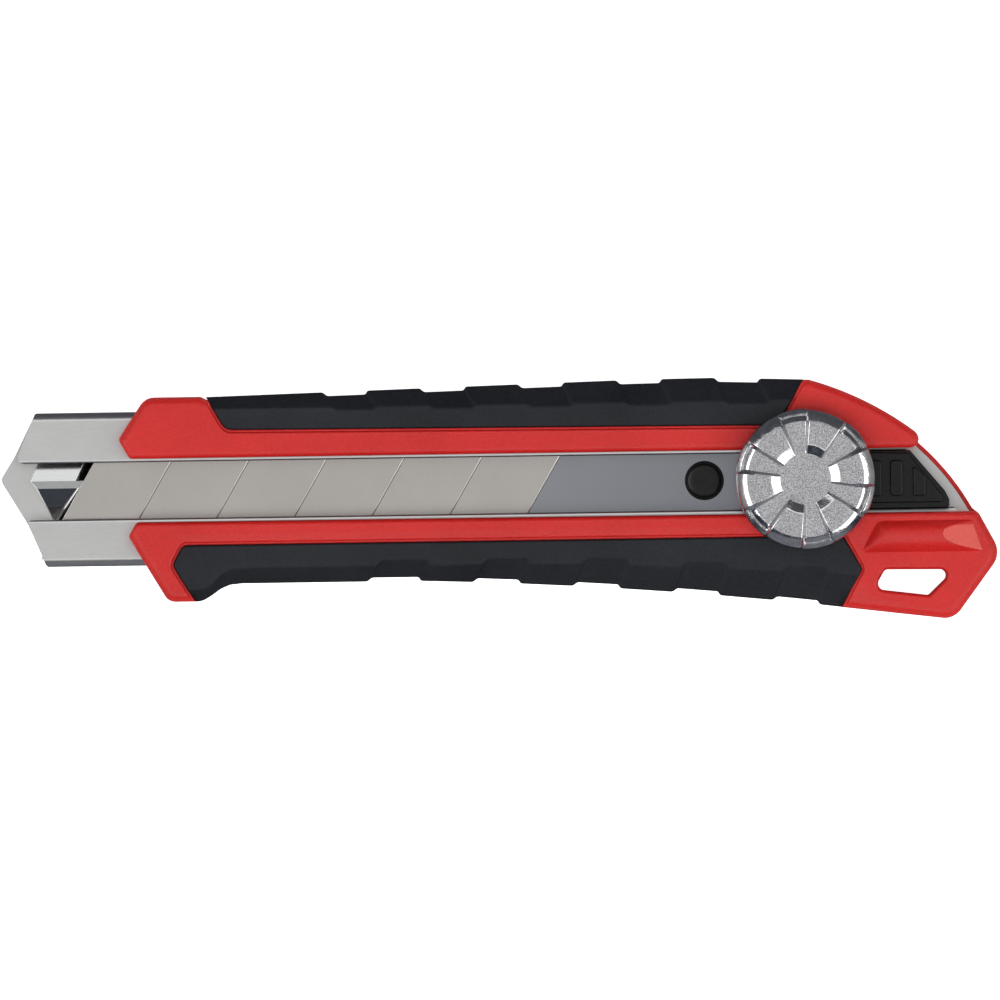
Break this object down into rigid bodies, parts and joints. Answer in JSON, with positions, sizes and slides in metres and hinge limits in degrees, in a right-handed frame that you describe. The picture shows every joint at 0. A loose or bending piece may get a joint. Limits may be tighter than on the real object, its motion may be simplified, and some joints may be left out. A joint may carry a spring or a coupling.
{
  "type": "utility knife",
  "caption": "Snap-off utility knife with a folded steel blade channel, red handle with black rubber grips, lanyard hole and a wheel that locks the sliding blade.",
  "frame": {"origin": "on the flat back face, under the blade's centreline, half way along the knife", "axes": "+X along the knife from the blade's nose to the butt; +Z out of the front face towards the wheel; +Y away from the cutting edge"},
  "size_m": [0.179, 0.0439, 0.0277],
  "materials": {
    "red_plastic": "fine moulded grain",
    "grip_rubber": "matt, fine grain",
    "channel_steel": "satin stainless sheet",
    "fastener_steel": "zinc plated",
    "blade_steel": "ground tool steel",
    "black_plastic": "satin moulded",
    "plated_metal": "bright plated, grained faces"
  },
  "bodies": {
    "handle": {"handle_body": "red_plastic", "upper_grip": "grip_rubber", "lower_grip": "grip_rubber", "blade_channel": "channel_steel", "channel_screws": "fastener_steel"},
    "carriage": {"blade_carrier": "black_plastic", "snap_blade": "blade_steel", "blade_peg": "black_plastic", "saddle_plate": "fastener_steel", "wave_washer": "fastener_steel", "flat_washer": "fastener_steel"},
    "wheel": {"lock_wheel": "plated_metal", "lock_stud": "fastener_steel"},
    "nut": {"clamp_nut": "fastener_steel"}
  },
  "joints": [
    {"name": "blade_slide", "type": "slide", "parent": "handle", "child": "carriage", "axis": [-1, 0, 0], "range_m": [0, 0.098]},
    {"name": "wheel_turn", "type": "hinge", "parent": "carriage", "child": "wheel", "pos_m": [0.0551, 0, 0.0236], "axis": [0, 0, 1], "range_deg": [-30, 330]},
    {"name": "nut_travel", "type": "slide", "parent": "carriage", "child": "nut", "axis": [0, 0, 1], "range_m": [-0.00075, 0.00007]}
  ],
  "couplings": [
    {"joint": "nut_travel", "follows": "wheel_turn", "m_per_rad": -0.00012732}
  ]
}
